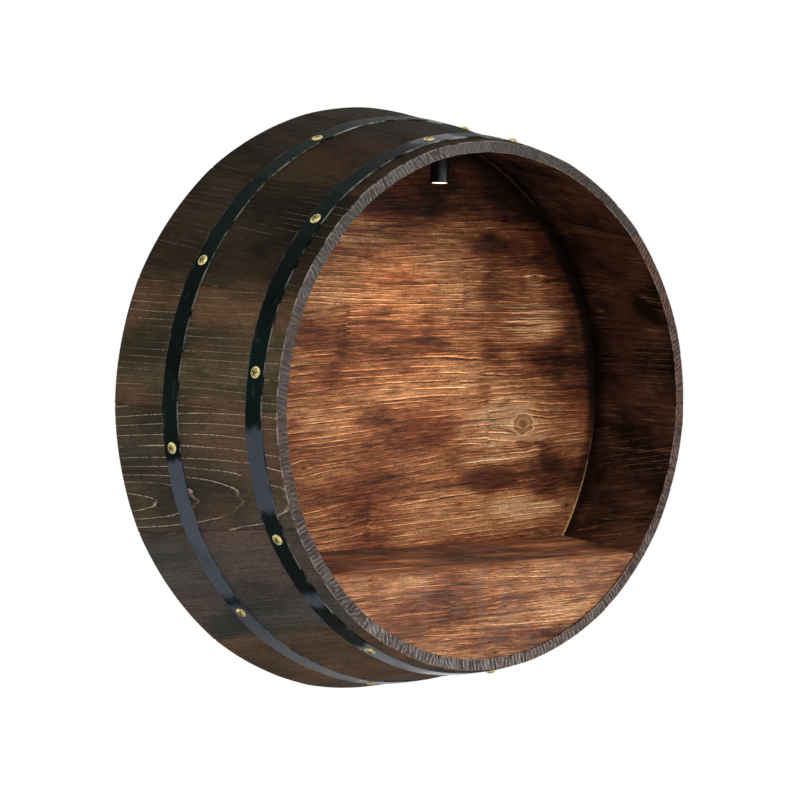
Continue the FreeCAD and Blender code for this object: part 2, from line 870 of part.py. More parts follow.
def all_pieces():
    stave_tools = front_hoop_holes + rear_hoop_holes + canopy_holes + [cord_notch()]
    pieces = {}
    for number, (start, end) in enumerate(spans, 1):
        pieces[f"stave_{number:02d}"] = [cut_by(stave(start, end), stave_tools)]
    pieces["front_hoop"] = [hoop(front_hoop_set, front_hoop_joint_angle, front_hoop_seats)]
    pieces["rear_hoop"] = [hoop(rear_hoop_set, rear_hoop_joint_angle, rear_hoop_seats)]
    pieces["front_hoop_screws"] = front_hoop_screws
    pieces["rear_hoop_screws"] = rear_hoop_screws
    for index in range(panel_board_count):
        pieces[f"panel_board_{index + 1}"] = [panel_board(index)]
    for side, x in batten_places.items():
        pieces[f"{side}_batten"] = [batten(x)]
    pieces["panel_screws"] = panel_screws
    for side, x in hanger_places.items():
        pieces[f"{side}_hanger_plate"] = [hanger_plate(x)]
    pieces["hanger_screws"] = hanger_screws
    pieces["shelf"] = [shelf()]
    pieces["shelf_fascia"] = [fascia()]
    pieces["rear_cleat"] = [cleat(rear_cleat_y)]
    pieces["front_cleat"] = [cleat(fascia_back_y)]
    pieces["cleat_screws"] = rear_cleat_screws + front_cleat_screws
    pieces["shelf_screws"] = shelf_screws
    pieces["lamp_canopy"] = [lamp_canopy()]
    pieces["canopy_screws"] = canopy_screws
    pieces["swivel_yoke"] = [swivel_yoke()]
    pieces["swivel_retainer"] = [swivel_retainer()]
    pieces["pivot_pin"] = [pivot_pin()]
    pieces["lamp_housing"] = [lamp_housing()]
    pieces["led_board"] = [led_board()]
    pieces["lens_holder"] = [lens_holder()]
    pieces["lamp_lens"] = [lamp_lens()]
    pieces["lamp_bezel"] = [lamp_bezel()]
    pieces["lamp_lead"] = [lamp_lead()]
    pieces["lead_clips"] = lead_clips()
    pieces["power_socket"] = [power_socket()]
    pieces["socket_clip"] = [socket_clip()]
    return pieces


os.makedirs("parts", exist_ok=True)
for name, solids in all_pieces().items():
    whole = solids[0] if len(solids) == 1 else Part.makeCompound(solids)
    whole.exportStep(f"parts/{name}.step")
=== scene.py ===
# %% [markdown]
# # A barrel cabinet for the wall
# The object is the front half of a barrel, hung on a wall with its open end towards the room: tapered
# staves held by two steel hoops, a burnt pine back, a shelf and a small spotlight. The packed solids give
# the shapes and stay where they are. This lesson gives them their finishes, builds the staves again with
# worn ends and edges, which solids do badly, and sets up a plain studio.

import math

import bmesh
import bpy
from mathutils import Matrix, Vector
from mathutils import noise as perlin


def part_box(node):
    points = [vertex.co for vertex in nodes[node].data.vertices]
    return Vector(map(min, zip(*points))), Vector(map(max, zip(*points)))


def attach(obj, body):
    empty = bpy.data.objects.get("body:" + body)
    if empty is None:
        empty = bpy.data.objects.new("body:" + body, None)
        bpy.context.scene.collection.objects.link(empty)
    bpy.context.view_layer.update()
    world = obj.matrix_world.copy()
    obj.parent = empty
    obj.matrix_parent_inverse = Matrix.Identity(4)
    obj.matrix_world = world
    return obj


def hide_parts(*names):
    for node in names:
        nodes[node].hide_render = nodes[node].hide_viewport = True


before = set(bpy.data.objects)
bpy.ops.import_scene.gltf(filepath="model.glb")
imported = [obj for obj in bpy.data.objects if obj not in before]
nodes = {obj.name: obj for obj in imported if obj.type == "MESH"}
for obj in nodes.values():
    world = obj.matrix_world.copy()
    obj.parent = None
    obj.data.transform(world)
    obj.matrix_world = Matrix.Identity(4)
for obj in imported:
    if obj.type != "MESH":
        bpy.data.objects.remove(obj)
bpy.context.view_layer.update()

# %% [markdown]
# ## Sizes to build on
# Every solid is in metres: the wall is y = 0, the open front faces -Y and the barrel's axis is the Y axis.
# The barrel is a cone, so its outer radius at a depth is a straight line. The staves' widths are the
# shares of the girth that the model was made with, because each stave later needs its own middle angle.

# %% Barrel sizes
front_y = -0.2
back_radius = 0.3
taper = 0.25
stave_thickness = 0.011
panel_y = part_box("panel_board_1")[0].y
shelf_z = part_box("shelf")[1].z
stave_shares = (
    0.54, 0.98, 1.04, 0.95, 0.97, 1.08, 0.99, 0.99,
    1.02, 0.99, 0.99, 1.00, 1.02, 1.05, 0.93,
)
first_joint = math.radians(93.8)


def stave_edges():
    """Start and end angle of each stave in radians, counted from +X towards +Z."""
    turn = 2 * math.pi / sum(stave_shares)
    start = first_joint
    edges = []
    for share in stave_shares:
        edges.append((start, start + share * turn))
        start += share * turn
    return edges


staves = stave_edges()
print("stave joints", [round(math.degrees(a) % 360, 1) for a, _ in staves])

# %% [markdown]
# ## Camera
# A camera is a place, a direction and a lens. The picture was taken from the front left, a little above
# the middle, with a long lens that keeps the circle of the rim almost free of perspective. The direction is
# written as azimuth, elevation and roll, and turned into the three axes of the camera's matrix, which is
# easier to read than three Euler angles.

# %% Camera at the photograph's place
camera_place = Vector((-1.0762, -1.4672, 0.0595))
azimuth, elevation, roll = (math.radians(a) for a in (37.107, 1.883, 1.081))
backwards = Vector((
    -math.sin(azimuth) * math.cos(elevation),
    -math.cos(azimuth) * math.cos(elevation),
    math.sin(elevation),
))
sideways = Vector((0, 0, 1)).cross(backwards).normalized()
upwards = backwards.cross(sideways)
camera_right = sideways * math.cos(roll) + upwards * math.sin(roll)
camera_up = upwards * math.cos(roll) - sideways * math.sin(roll)


def add_object(name, data):
    """A new object in the scene."""
    made = bpy.data.objects.new(name, data)
    bpy.context.scene.collection.objects.link(made)
    return made


sensor_width = 36
lens_in_pixels, picture_width = 1756.9, 800
camera = add_object("camera", bpy.data.cameras.new("camera"))
camera.matrix_world = Matrix((camera_right, camera_up, backwards)).transposed().to_4x4()
camera.location = camera_place
camera.data.sensor_width = sensor_width
camera.data.lens = lens_in_pixels / picture_width * sensor_width
bpy.context.scene.camera = camera
bpy.context.scene.view_settings.view_transform = "Standard"
print("lens", round(camera.data.lens, 1), "mm")

# %% [markdown]
# ## Shader maths in Python
# A finish is a net of nodes. Placing dozens of Math nodes by hand hides the idea, so one small class wraps
# a node's output and overloads Python's operators: an expression such as `1 - mask` adds the Math node for
# it. Every other node comes from the one method `node`, which sets the node's settings first and then
# fills or links its sockets.

# %% The class that wraps a socket
class Flow:
    """What flows out of one socket of a material: a value, a colour or a vector."""

    def __init__(self, tree, output=None):
        self.tree = tree
        self.output = output

    def node(self, kind, settings=None, sockets=None, out=0):
        """A new node: its settings first, then its sockets' values or links; gives one of its outputs."""
        made = self.tree.nodes.new(kind)
        for name, value in (settings or {}).items():
            if name == "stops":
                while len(made.color_ramp.elements) < len(value):
                    made.color_ramp.elements.new(1.0)
                for element, (at, colour) in zip(made.color_ramp.elements, value):
                    element.position, element.color = at, colour
            else:
                setattr(made, name, value)
        for key, value in (sockets or {}).items():
            if isinstance(value, Flow):
                self.tree.links.new(value.output, made.inputs[key])
            else:
                made.inputs[key].default_value = value
        return Flow(self.tree, made.outputs[out] if len(made.outputs) else None)

    def math(self, operation, *others):
        return self.node("ShaderNodeMath", {"operation": operation}, dict(enumerate((self, *others))))

    def __add__(self, other):
        return self.math("ADD", other)

    def __sub__(self, other):
        return self.math("SUBTRACT", other)

    def __rsub__(self, other):
        return self.node("ShaderNodeMath", {"operation": "SUBTRACT"}, {0: other, 1: self})

    def __mul__(self, other):
        return self.math("MULTIPLY", other)

    def __truediv__(self, other):
        return self.math("DIVIDE", other)

    def __pow__(self, other):
        return self.math("POWER", other)

    __radd__ = __add__
    __rmul__ = __mul__


print("operators:", [name for name in vars(Flow) if name.startswith("__r")], "and their plain forms")

# %% Small helpers for places, masks and mixes
to_right, to_wall, to_top = (1, 0, 0), (0, 1, 0), (0, 0, 1)


def object_place(start):
    """The point on the surface in metres, in the cabinet's own axes."""
    return start.node("ShaderNodeTexCoord", out="Object")


def along(place, direction):
    """How far a point lies along a direction."""
    return place.node(
        "ShaderNodeVectorMath", {"operation": "DOT_PRODUCT"}, {0: place, 1: direction}, out="Value"
    )


def length(first, second):
    """Length of a flat vector of two values."""
    return (first * first + second * second) ** 0.5


def joined(across, lengthwise, through):
    """Three values as one place."""
    return across.node("ShaderNodeCombineXYZ", None, {0: across, 1: lengthwise, 2: through})


def smooth(value, low, high):
    """0 up to low, 1 from high and a soft step between; downwards if low is above high."""
    return value.node(
        "ShaderNodeMapRange",
        {"interpolation_type": "SMOOTHSTEP"},
        {"Value": value, "From Min": low, "From Max": high},
    )


def band(value, low, high, soft):
    """1 between low and high, with soft ends."""
    return smooth(value, low - soft, low + soft) * smooth(value, high + soft, high - soft)


def blend(first, second, share):
    """Mixes two colours by a share that changes over the surface."""
    return share.node("ShaderNodeMix", {"data_type": "RGBA"}, {0: share, 6: first, 7: second}, out=2)


def shaded(colour, value):
    """A colour made lighter or darker by a value."""
    return value.node("ShaderNodeVectorMath", {"operation": "SCALE"}, {0: colour, "Scale": value})


def noise(place, scale, seed, detail=2.0, rough=0.5):
    """Soft noise from 0 to 1, stretched by a scale for each axis; the seed moves it elsewhere."""
    moved = place.node(
        "ShaderNodeVectorMath",
        {"operation": "MULTIPLY_ADD"},
        {0: place, 1: scale, 2: (3.7 * seed, 1.3 * seed, 2.1 * seed)},
    )
    return place.node(
        "ShaderNodeTexNoise", None, {"Vector": moved, "Scale": 1.0, "Detail": detail, "Roughness": rough}
    )


def tint(red, green, blue):
    """A colour as seen on a screen, 0 to 255, turned into Blender's linear values."""
    def linear(value):
        share = value / 255
        return share / 12.92 if share <= 0.04045 else ((share + 0.055) / 1.055) ** 2.4
    return (linear(red), linear(green), linear(blue), 1.0)


print("a middle grey of 128 is", round(tint(128, 128, 128)[0], 3), "in linear values")

# %% A finish is a new material with one shader
def new_finish(name):
    """An empty material and the flow that its nodes start from."""
    material = bpy.data.materials.new(name)
    material.use_nodes = True
    material.node_tree.nodes.clear()
    return material, Flow(material.node_tree)


def close_finish(start, sockets, height=None, relief=0.0005, strength=1.0):
    """Adds the shader, with a bump from a height if there is one, and the output."""
    if height is not None:
        sockets["Normal"] = start.node(
            "ShaderNodeBump", None, {"Height": height, "Distance": relief, "Strength": strength}
        )
    shader = start.node("ShaderNodeBsdfPrincipled", None, sockets)
    start.node("ShaderNodeOutputMaterial", None, {"Surface": shader})


def dress(material, *names):
    """Gives solids a finish."""
    for name in names:
        nodes[name].data.materials.clear()
        nodes[name].data.materials.append(material)


print("shader helpers ready, materials so far:", len(bpy.data.materials))

# %% [markdown]
# ## Wood from growth rings
# A board is a slice of a log, and its grain is where the yearly rings meet the cut. So the grain is not
# painted: each board gets an imaginary pith, the line along the middle of the log, and the distance from it
# gives the rings. The same rings then show as long lines on the faces and as arcs on the sawn ends, as in
# real timber. A place in a board is given as across, along and through it.

# %% Rings, fibres and hairlines
def growth_rings(place, pith, ring_width, sway, seed, lean=0.0, tilt=0.0, bunching=(50, 1.3)):
    """From 0 to 1 through each yearly ring of a log whose pith lies at (across, through).

    The pith leans sideways and tilts into the board along its length; a tilt makes the rings close in
    pointed arches. bunching is how often the rings crowd together in a metre, and how much."""
    wander = noise(place, (7, 2.5, 7), seed, 1.5) - 0.5
    across = along(place, (1, lean, 0)) - pith[0] + wander * sway
    through = along(place, (0, tilt, 1)) - pith[1]
    radius = length(across, through)
    often, amount = bunching
    uneven = noise(place, (often, 3, often), seed + 9, 2.0)
    return (radius / ring_width + uneven * amount).math("FRACT")


def late_wood(ring):
    """The hard part of each ring, which grows denser and ends sharply."""
    return smooth(ring, 0.45, 0.92) * smooth(ring, 1.0, 0.97)


def ridge(ring, begin=0.82):
    """Only the hard edge of each ring, a thin line."""
    return smooth(ring, begin, 0.92) * smooth(ring, 1.0, 0.96)


def groove(ring, end=0.10):
    """The thin line beside that edge, where brushing took the soft wood out."""
    return smooth(ring, 0.955, 0.985).math("MAXIMUM", smooth(ring, end, 0.01))


def fibres(place, seed):
    """Short fine dashes along the grain."""
    return noise(place, (640, 60, 640), seed + 3, 3.0, 0.68)


def rows(place, seed):
    """Long fine rows along the grain."""
    return noise(place, (330, 8, 330), seed + 12, 2.0, 0.6)


def speckles(place, seed):
    """Tiny flecks, a little longer along the grain."""
    return noise(place, (900, 320, 900), seed + 16, 2.0, 0.6)


def hairlines(place, seed, spacing, width=0.035):
    """Thin wavy lines along the grain, where a stretched noise passes its middle; broken here and there."""
    wave = noise(place, (1 / spacing, 3.5, 1 / spacing), seed + 6, 1.0)
    broken = smooth(noise(place, (150, 26, 150), seed + 7, 2.0), 0.36, 0.52)
    return smooth((wave - 0.5).math("ABSOLUTE"), width, 0.0) * broken


print("rings ready")

# %% [markdown]
# ## Worn staves
# A solid has crisp, even edges. Real stave ends were sawn and brushed by hand: some sit a little deeper
# than others, their edges are rounded and chipped, and their faces are not quite true. Such wear has to be
# in the mesh to show along an outline, so each stave is built again on the lines of its solid: a grid of
# points across, through and along the stave, of which only the outside is kept. The wear only ever takes
# wood away. A bevel modifier would round the edges too, but evenly, like a machine.

# %% A closed shell over a grid
def shell(counts, place):
    """Quads over the six sides of a grid of points; place gives each point's position."""
    mesh = bmesh.new()
    made = {}

    def corner(axis, end, i, j):
        key = [0, 0, 0]
        key[axis], key[(axis + 1) % 3], key[(axis + 2) % 3] = end, i, j
        key = tuple(key)
        if key not in made:
            made[key] = mesh.verts.new(place(*key))
        return made[key]

    for axis in range(3):
        for end in (0, counts[axis]):
            for i in range(counts[(axis + 1) % 3]):
                for j in range(counts[(axis + 2) % 3]):
                    square = ((i, j), (i + 1, j), (i + 1, j + 1), (i, j + 1))
                    mesh.faces.new([corner(axis, end, *spot) for spot in square])
    bmesh.ops.recalc_face_normals(mesh, faces=mesh.faces)
    return mesh


def finished_mesh(name, mesh, sharp_angle):
    """The mesh as data, smooth except at edges sharper than an angle in degrees."""
    data = bpy.data.meshes.new(name)
    mesh.to_mesh(data)
    mesh.free()
    data.shade_smooth()
    data.set_sharp_from_angle(angle=math.radians(sharp_angle))
    return data


sample = shell((2, 2, 2), lambda *key: Vector(key))
print("a grid of 2 by 2 by 2 cells has", len(sample.faces), "outer faces")
sample.free()

# %% Rounded faces and chipped edges
crown_share = 0.9
slow_wear, chip_depth = 0.00025, 0.0012


def crowned(radius, half, offset):
    """Radius of a stave's rounded face at an angle from its middle; its corners have the given radius."""
    flat = radius * math.cos(half)
    middle = flat + crown_share * (radius - flat)
    centre = (radius ** 2 - middle ** 2) / (2 * (flat - middle))
    return centre * math.cos(offset) + math.sqrt((middle - centre) ** 2 - (centre * math.sin(offset)) ** 2)


def chips(angle, lane):
    """How much wood is gone from an edge at an angle: a slow wave and a few deeper chips."""
    slow = perlin.noise(Vector((angle * 9, lane, 0.5)))
    fast = perlin.noise(Vector((angle * 46, lane, 4.5)))
    return slow_wear * max(0.0, 0.4 + slow) + chip_depth * max(0.0, fast - 0.34)


widest = max(last - first for first, last in staves) / 2
flattened = back_radius - crowned(back_radius, widest, 0.0)
print("the widest stave's crown lies", round(flattened, 4), "m inside the round")

# %% One worn stave
edge_ease = 0.0008
most_sunk, sunk_reach = 0.0009, 0.02
face_wave = 0.00012
stave_cell = 0.0021
layers = 5
inner_face = 40
rim_depths = [0, 0.0008, 0.0018, 0.0035, 0.006, 0.01, 0.016]
rim_wear = [1.0, 1.0, 0.6, 0.25, 0.08]
depths = rim_depths + [0.024 + 0.011 * i for i in range(16)] + [-front_y]
wear_at_depth = rim_wear + [0.0] * (len(depths) - len(rim_wear))


def worn_stave(number, first, last):
    """A stave between two angles: chipped at the rim, eased along its sides, its end a little sunk."""
    half = (last - first) / 2
    ease = edge_ease / (back_radius + taper * front_y)
    cells = round(2 * half * back_radius / stave_cell)
    inner_turns = [-half + ease + (2 * half - 2 * ease) * i / (cells - 2) for i in range(cells - 1)]
    turns = [-half] + inner_turns + [half]
    sunk = most_sunk * abs(perlin.noise(Vector((number * 2.7, 0.3, 0.1))))

    def place(a, t, s):
        offset = turns[a]
        angle = (first + last) / 2 + offset
        wear = wear_at_depth[s]
        y = front_y + depths[s] + sunk * max(0.0, 1 - depths[s] / sunk_reach)
        shrink = edge_ease if s == 0 else 0.0
        outer = back_radius + taper * y - shrink
        inner = back_radius + taper * y - stave_thickness + shrink
        wave = perlin.noise(Vector((angle * 11, y * 7, number * 1.9)))
        high = crowned(outer, half, offset) - face_wave * (1 + wave) - chips(angle, number) * wear
        if a in (0, cells):
            high = outer * (1 - ease) - chips(y * 5, number + 0.5 * a) * 0.5
        low = crowned(inner, half, offset) + chips(angle, number + inner_face) * wear
        if s == 0:
            lane = number if 2 * t < layers else number + inner_face
            y += 0.5 * chips(angle, lane) * abs(2 * t / layers - 1)
        radius = high + (low - high) * t / layers
        return Vector((radius * math.cos(angle), y, radius * math.sin(angle)))

    return shell((cells, layers, len(depths) - 1), place)


print("stave stations", len(depths))

# %% Cut the cord's notch
def cut_notch(piece, low, high):
    """Takes a box out of a piece."""
    cutter = add_object("notch", bpy.data.meshes.new("notch"))
    block = bmesh.new()
    bmesh.ops.create_cube(block, size=1.0)
    bmesh.ops.scale(block, vec=high - low, verts=block.verts)
    bmesh.ops.translate(block, vec=(high + low) / 2, verts=block.verts)
    block.to_mesh(cutter.data)
    block.free()
    cut = piece.modifiers.new("notch", "BOOLEAN")
    cut.object = cutter
    cut.operation = "DIFFERENCE"
    cut.solver = "EXACT"
    graph = bpy.context.evaluated_depsgraph_get()
    carved = bpy.data.meshes.new_from_object(piece.evaluated_get(graph))
    piece.modifiers.remove(cut)
    piece.data = carved
    bpy.data.objects.remove(cutter)


notch_x = (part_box("power_socket")[0].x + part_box("power_socket")[1].x) / 2
notch_width, notch_depth = 0.008, 0.008
print("the notch lies at x =", round(notch_x, 4))

# %% [markdown]
# ## Charred staves
# The staves are pine that was scorched, brushed and oiled. Brushing takes the soft wood out between the
# hard late-wood lines, which stay as thin tan ridges on some staves and hardly show on the speckled, blotched
# others; the sawn ends on the rim dried to a purplish grey. One builder makes a material for each stave,
# because every stave comes from another log: its pith, its ring width and its depth of char differ, and its
# tone runs into the neighbours' at the joints. The staves at the top are also made darker as painted shade,
# and the inside is darkened as painted shade in the corner at the panel. The way a face points tells the
# rim, and the distance from the cone tells the outside from the inside, so no face has to be split.

# %% Which log each stave comes from
# pith across and through (m), ring width (m), lean; then the tan ridges of the outside;
# then grey, saw marks and lightness of the rim
stave_logs = {
    1: (0.080, 0.060, 0.0050, 0.02, 0.04, 1.00, 0.15, 0.92),
    2: (-0.085, 0.010, 0.0062, 0.03, 0.05, 1.00, 0.80, 0.90),
    3: (0.090, 0.020, 0.0060, 0.03, 0.10, 1.00, 0.45, 0.84),
    4: (0.120, 0.010, 0.0070, -0.03, 0.45, 0.75, 0.30, 0.76),
    5: (0.030, -0.006, 0.0085, -0.02, 0.85, 0.60, 0.45, 0.80),
    6: (0.100, 0.030, 0.0034, -0.02, 0.20, 0.80, 0.70, 0.95),
    7: (-0.100, 0.040, 0.0036, 0.03, 0.20, 0.85, 0.95, 1.40),
    8: (-0.120, 0.030, 0.0040, 0.03, 0.25, 0.85, 1.00, 1.50),
    9: (0.110, 0.010, 0.0045, 0.04, 0.25, 0.70, 0.90, 1.30),
    10: (0.080, 0.045, 0.0040, 0.05, 0.30, 0.55, 0.80, 1.00),
    11: (0.090, 0.060, 0.0045, 0.05, 0.40, 0.40, 0.70, 0.85),
    12: (-0.090, 0.050, 0.0050, 0.04, 0.40, 0.22, 0.60, 0.88),
    13: (-0.080, 0.045, 0.0046, 0.05, 0.40, 0.15, 0.55, 0.80),
    14: (0.090, 0.030, 0.0052, 0.04, 0.30, 0.90, 0.30, 0.56),
    15: (-0.060, 0.090, 0.0040, 0.04, 0.15, 1.00, 0.20, 0.66),
}
# how the outside of each stave is toned, as factors of red, green and blue: partly its own tone,
# partly painted shade that makes the staves at the top darker
stave_tones_with_top_shade = {
    1: (0.70, 0.66, 0.60), 2: (0.80, 0.70, 0.56), 3: (0.92, 0.90, 0.74), 4: (2.90, 2.90, 2.45),
    5: (2.60, 2.80, 2.80), 6: (2.40, 3.10, 4.20), 7: (3.90, 3.30, 2.90), 8: (2.50, 2.40, 2.30),
    9: (2.20, 2.10, 2.00), 10: (2.00, 1.90, 1.80), 11: (1.80, 1.70, 1.60), 12: (1.70, 1.60, 1.50),
    13: (1.35, 1.30, 1.25), 14: (1.05, 1.02, 0.96), 15: (0.70, 0.68, 0.62),
}
# a pith that tilts into the stave closes its rings in arches
stave_tilt = {5: -0.16}
# how black the blotches of the outside are, where they are more than a few
stave_blotches = {1: 0.6, 2: 0.7, 3: 0.35, 4: 0.35, 14: 0.4, 15: 0.6}
few_blotches = 0.15
print("logs for", len(stave_logs), "staves")

# %% Charred outside, scorched inside and sawn rim
def charred_outside(place, ring, line, fine, seed, ridges, tone, blotches):
    """Speckled char with blotches, dark grooves and broken tan ridges."""
    clouds = smooth(noise(place, (20, 8, 20), seed + 20, 3.0, 0.5), 0.30, 0.70)
    black = smooth(noise(place, (28, 15, 28), seed + 29, 3.0, 0.6), 0.44, 0.60)
    reddish = smooth(noise(place, (14, 7, 14), seed + 27, 2.0), 0.46, 0.64)
    speckle = speckles(place, seed)
    colour = blend(tint(38, 33, 26), tint(62, 52, 41), clouds)
    colour = blend(colour, tint(78, 53, 40), reddish * 0.5)
    colour = shaded(colour, (0.3 + 0.7 * fine) * (0.2 + 1.2 * speckle) * (0.65 + 0.9 * rows(place, seed)))
    colour = shaded(colour, 1.0 + blotches * 0.5 - black * blotches)
    colour = place.node("ShaderNodeVectorMath", {"operation": "MULTIPLY"}, {0: colour, 1: tone})
    more = 0.06 * ridges
    patches = smooth(noise(place, (36, 11, 36), seed + 33, 3.0), 0.40 - more, 0.60 - more)
    breaks = noise(place, (160, 24, 160), seed + 31, 2.0)
    broken = smooth(breaks, 0.46 - 0.22 * ridges, 0.62 - 0.18 * ridges) * smooth(speckle, 0.30, 0.58)
    lined = broken * (0.12 + 0.88 * patches)
    colour = blend(colour, tint(22, 18, 14), groove(ring) * lined * 0.6)
    return blend(colour, tint(184, 162, 138), line * lined * (0.10 + 0.90 * ridges))


def scorched_inside(place, ring, fine, seed):
    """Dark brown clouds with pale and black hairlines."""
    clouds = smooth(noise(place, (22, 10, 22), seed + 24, 3.0, 0.6), 0.32, 0.70)
    patches = smooth(noise(place, (26, 16, 26), seed + 35, 2.0), 0.42, 0.60)
    colour = blend(tint(29, 19, 15), tint(90, 59, 45), clouds)
    colour = shaded(colour, (0.25 + 0.85 * fine) * (0.5 + 1.4 * rows(place, seed)))
    colour = blend(colour, tint(160, 118, 84), hairlines(place, seed + 1, 0.006, 0.022) * patches * 0.45)
    colour = blend(colour, tint(166, 122, 84), ridge(ring) * patches * smooth(fine, 0.40, 0.56) * 0.45)
    return blend(colour, tint(10, 6, 5), hairlines(place, seed + 61, 0.007) * 0.6)


def sawn_end(place, ring, seed, grey, saw, lightness):
    """Greyed end grain with saw marks and pale rings."""
    clouds = noise(place, (70, 5, 70), seed + 41, 3.0, 0.6)
    colour = blend(tint(100, 70, 56), tint(96, 92, 90), clouds * 0.5 + (grey - 0.25))
    marks = smooth(noise(place, (420, 4, 60), seed + 43, 2.0), 0.46, 0.56)
    strokes = smooth(noise(place, (90, 5, 150), seed + 45, 2.0), 0.42, 0.56)
    colour = blend(colour, tint(48, 40, 38), marks * (0.2 + 0.6 * saw))
    colour = blend(colour, tint(196, 182, 172), ridge(ring) * strokes * (0.2 + 0.5 * saw))
    return shaded(colour, (0.45 + 1.1 * noise(place, (700, 5, 700), seed + 47, 3.0, 0.7)) * lightness)


print("colours of outside, inside and rim ready")

# %% Build a stave's finish
end_ring_width = 0.0042


def stave_finish(number, middle, half):
    """The finish of a stave whose middle lies at an angle, half of its width to each side."""
    across_pith, through_pith, ring_width, lean, ridges, *end = stave_logs[number]
    material, start = new_finish(f"charred_stave_{number:02d}")
    point = object_place(start)
    x, y, z = (along(point, axis) for axis in (to_right, to_wall, to_top))
    facing = along(start.node("ShaderNodeTexCoord", out="Normal"), (0, -1, 0))
    below_cone = length(x, z) - taper * y - back_radius
    flat_depth = along(point, (math.cos(middle), -taper, math.sin(middle))) - back_radius
    across = along(point, (-math.sin(middle), 0, math.cos(middle)))
    side = across / along(point, (math.cos(middle), 0, math.sin(middle))) / math.tan(half)
    # the tones hold painted shade on the top staves as well as each stave's own tone
    own_tone, next_tone, previous_tone = (
        (*stave_tones_with_top_shade[(number - 1 + step) % len(stave_tones_with_top_shade) + 1], 1.0) for step in (0, 1, -1)
    )
    tone = blend(own_tone, next_tone, smooth(side, 0.7, 1.0) * 0.5)
    tone = blend(tone, previous_tone, smooth(side, -0.7, -1.0) * 0.5)
    place = joined(across, y, flat_depth)
    seed = 1.7 * number
    pith = (across_pith, through_pith)
    end_ring = growth_rings(place, pith, end_ring_width, 0.01, seed + 2)
    ring = growth_rings(place, pith, ring_width, 0.02, seed, lean, stave_tilt.get(number, 0.0))
    line = ridge(ring, max(0.82, 0.96 - 0.0006 / ring_width))
    fine = fibres(place, seed)

    blotches = stave_blotches.get(number, few_blotches)
    outside = charred_outside(place, ring, line, fine, seed, ridges, tone, blotches)
    inside = scorched_inside(place, ring, fine, seed)
    faces = blend(outside, inside, smooth(below_cone, -0.003, -0.006))
    # painted shade: the inside of the staves darkens into the corner where they meet the panel
    painted_corner_shade = smooth(y, panel_y - 0.030, panel_y - 0.004) * smooth(below_cone, -0.006, -0.008)
    faces = blend(faces, tint(12, 8, 6), painted_corner_shade * 0.8)
    near_rim = smooth(y, front_y + 0.008, front_y + 0.004)
    on_rim = smooth(facing, 0.55, 0.85) * near_rim
    colour = blend(faces, sawn_end(place, end_ring, seed, *end), on_rim)
    chipped = smooth(noise(place, (120, 120, 120), seed + 51, 2.0), 0.38, 0.60)
    colour = blend(colour, tint(160, 146, 134), band(facing, 0.45, 0.86, 0.08) * near_rim * chipped * 0.6)

    rough = 0.74 - 0.14 * line + 0.16 * (fine - 0.5)
    close_finish(
        start,
        {"Base Color": colour, "Roughness": rough, "Specular IOR Level": 0.04},
        late_wood(ring) * 0.4 + fine * 0.6,
        0.0008,
    )
    return material


print("stave finish ready, end rings of", end_ring_width, "m")

# %% Build and dress the staves
for number, (first, last) in enumerate(staves, 1):
    name = f"stave_{number:02d}"
    piece = add_object(f"worn_{name}", finished_mesh(name, worn_stave(number, first, last), 50))
    if first < 1.5 * math.pi < last:
        cut_notch(
            piece,
            Vector((notch_x - notch_width / 2, -notch_depth, -back_radius - 0.002)),
            Vector((notch_x + notch_width / 2, 0.002, -back_radius + 0.02)),
        )
    piece.data.materials.append(stave_finish(number, (first + last) / 2, (last - first) / 2))
    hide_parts(name)
    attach(piece, "cabinet")
print("staves built and dressed:", len(staves))

# %% [markdown]
# ## Burnt pine boards
# The back, the shelf and the board under it are glued from narrow pine strips, joined end to end by finger
# joints. The strips are told apart with a floor of their height, and each gets its own piece of log by
# moving the point where its rings are read, and its own slope. The burning came after the gluing, so the
# dark smudges and pale places run across the strips. Brushing left a dark groove beside each pale ridge.
# Knots bend the rings around them, so the point is pushed aside near each knot before its ring is read.

# %% Strips and finger joints
finger_pitch, finger_length = 0.0045, 0.007


def strip_place(start, across, lengthwise, through, strip_height, joints, slope):
    """A place in a glued board, moved to its own log for each strip, with the joints' thin lines.

    joints are (strip number, place along the strip) of the finger joints; slope is the grain's mean slope."""
    strip = (across / strip_height).math("FLOOR")
    zigzag = ((across / finger_pitch).math("FRACT") - 0.5).math("ABSOLUTE") * (2 * finger_length)
    piece = strip
    glue = across / strip_height - strip
    lines = smooth(glue, 0.012, 0.004).math("MAXIMUM", smooth(glue, 0.988, 0.996)) * 0.35
    for number, at in joints:
        here = band(strip, number - 0.5, number + 0.5, 0.2)
        past = lengthwise - zigzag - (at - finger_length / 2)
        piece = piece + here * smooth(past, -0.0001, 0.0001) * 0.37
        lines = lines.math("MAXIMUM", here * smooth(past.math("ABSOLUTE"), 0.0010, 0.0004))
    own = start.node("ShaderNodeTexWhiteNoise", {"noise_dimensions": "1D"}, {"W": piece}) - 0.5
    leaning = lengthwise * (own * 0.07 - slope)
    place = joined(across + leaning + piece * 0.31, lengthwise + piece * 0.83, through + piece * 0.19)
    return place, own, lines


print("fingers of", finger_pitch, "by", finger_length, "m")

